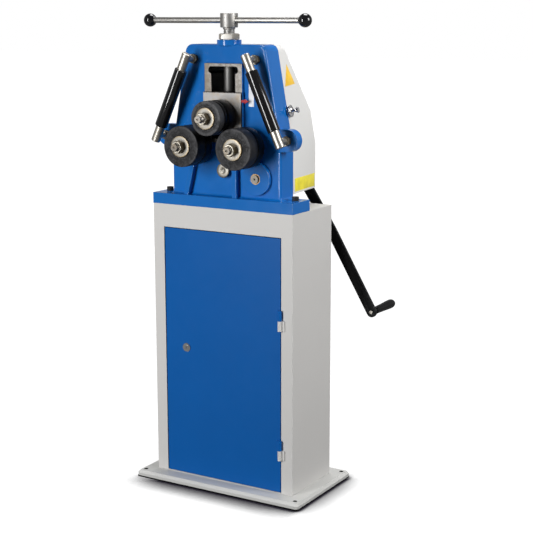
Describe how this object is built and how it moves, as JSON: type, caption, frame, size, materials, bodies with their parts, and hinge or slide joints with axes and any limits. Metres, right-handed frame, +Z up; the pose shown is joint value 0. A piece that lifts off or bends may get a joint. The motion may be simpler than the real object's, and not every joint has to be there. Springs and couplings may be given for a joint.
{
  "type": "ring roller",
  "caption": "Hand-cranked ring roller on a cabinet stand, with a pressure screw over the upper roll and two driven lower rolls.",
  "frame": {"origin": "on the floor, at the centre of the foot's four anchor holes", "axes": "+X to the right seen from the front, +Y from the front to the back, +Z up"},
  "size_m": [0.6186, 0.5073, 1.3176],
  "materials": {
    "rubber_black": "matt",
    "paint_grey": "satin",
    "paint_blue_door": "satin",
    "paint_blue_cast": "gloss over a cast surface",
    "paint_light": "satin",
    "steel_black": "blackened",
    "steel_bright": "turned and ground",
    "bronze": "turned",
    "chrome": "polished",
    "plastic_black": "gloss",
    "paint_red": "gloss",
    "plastic_white": "matt"
  },
  "bodies": {
    "stand": {"foot_mat": "rubber_black", "foot_plate": "paint_grey", "cabinet_shell": "paint_grey", "cabinet_knuckles": "paint_grey", "roller_frame": "paint_blue_cast", "bed_bolts": "steel_black", "bed_nuts": "steel_bright", "screw_nut": "steel_bright", "guide_bars": "steel_bright", "guide_studs": "steel_bright", "guide_nuts": "steel_bright", "lower_shaft_bushes": "bronze", "idler_axle": "steel_bright", "crank_bushes": "bronze", "gear_cover": "paint_light", "cover_knobs": "chrome", "scale_strip": "plastic_white"},
    "slide": {"slide_block": "steel_bright", "keeper_plate": "steel_bright", "keeper_screws": "steel_black", "upper_shaft_bushes": "bronze", "pointer": "paint_red"},
    "screw": {"pressure_screw": "steel_bright"},
    "bar": {"tommy_bar": "steel_bright", "ball_knobs": "plastic_black"},
    "upper_roll": {"upper_shaft": "steel_bright", "upper_front_roll": "steel_black", "upper_middle_roll": "steel_black", "upper_rear_roll": "steel_black", "upper_washer": "steel_bright", "upper_nut": "steel_bright", "upper_ring": "steel_bright"},
    "left_roll": {"left_shaft": "steel_bright", "left_front_roll": "steel_black", "left_rear_roll": "steel_black", "left_washer": "steel_bright", "left_nut": "steel_bright", "left_keys": "steel_bright", "left_ring": "steel_bright", "left_gear": "steel_bright"},
    "right_roll": {"right_shaft": "steel_bright", "right_front_roll": "steel_black", "right_rear_roll": "steel_black", "right_washer": "steel_bright", "right_nut": "steel_bright", "right_keys": "steel_bright", "right_ring": "steel_bright", "right_gear": "steel_bright"},
    "idler": {"idler_gear": "steel_bright"},
    "crank": {"crank_shaft": "steel_bright", "crank_arm": "steel_black", "crank_screw": "steel_bright", "grip_bolt": "steel_bright"},
    "grip": {"crank_grip": "plastic_black"},
    "door": {"door_panel": "paint_blue_door", "door_knuckles": "paint_blue_door", "lock_body": "chrome"},
    "lock": {"lock_barrel": "chrome"},
    "left_guide": {"left_sleeve": "steel_black"},
    "right_guide": {"right_sleeve": "steel_black"}
  },
  "joints": [
    {"name": "slide_travel", "type": "slide", "parent": "stand", "child": "slide", "axis": [0, 0, 1], "range_m": [-0.0101, 0.0601]},
    {"name": "screw_turn", "type": "hinge", "parent": "slide", "child": "screw", "pos_m": [0, -0.05825, 1.2], "axis": [0, 0, 1], "range_deg": [-600, 3600]},
    {"name": "bar_slide", "type": "slide", "parent": "screw", "child": "bar", "axis": [1, 0, 0], "range_m": [-0.19, 0.217]},
    {"name": "upper_spin", "type": "hinge", "parent": "slide", "child": "upper_roll", "pos_m": [0, -0.10675, 1.046], "axis": [0, 1, 0], "continuous": true},
    {"name": "crank_turn", "type": "hinge", "parent": "stand", "child": "crank", "pos_m": [0.1005, 0.14325, 0.88288], "axis": [0, 1, 0], "continuous": true},
    {"name": "right_spin", "type": "hinge", "parent": "stand", "child": "right_roll", "pos_m": [0.0825, -0.10675, 0.968], "axis": [0, 1, 0], "continuous": true},
    {"name": "left_spin", "type": "hinge", "parent": "stand", "child": "left_roll", "pos_m": [-0.0825, -0.10675, 0.968], "axis": [0, 1, 0], "continuous": true},
    {"name": "idler_spin", "type": "hinge", "parent": "stand", "child": "idler", "pos_m": [0, 0.01125, 0.90065], "axis": [0, 1, 0], "continuous": true},
    {"name": "grip_spin", "type": "hinge", "parent": "crank", "child": "grip", "pos_m": [0.327, 0.23325, 0.49636], "axis": [0, 1, 0], "continuous": true},
    {"name": "door_swing", "type": "hinge", "parent": "stand", "child": "door", "pos_m": [0.188, -0.11275, 0.4], "axis": [0, 0, 1], "range_deg": [0, 110]},
    {"name": "lock_turn", "type": "hinge", "parent": "door", "child": "lock", "pos_m": [-0.1187, -0.10675, 0.395], "axis": [0, 1, 0], "range_deg": [0, 90]},
    {"name": "left_guide_spin", "type": "hinge", "parent": "stand", "child": "left_guide", "pos_m": [-0.14519, -0.12625, 1.09234], "axis": [0.4139, 0, 0.9103], "continuous": true},
    {"name": "right_guide_spin", "type": "hinge", "parent": "stand", "child": "right_guide", "pos_m": [0.14519, -0.12625, 1.09234], "axis": [-0.4139, 0, 0.9103], "continuous": true}
  ],
  "couplings": [
    {"joint": "slide_travel", "follows": "screw_turn", "m_per_rad": 0.00095493},
    {"joint": "right_spin", "follows": "crank_turn", "ratio": -0.38095},
    {"joint": "left_spin", "follows": "crank_turn", "ratio": -0.38095},
    {"joint": "idler_spin", "follows": "crank_turn", "ratio": 0.55172}
  ]
}
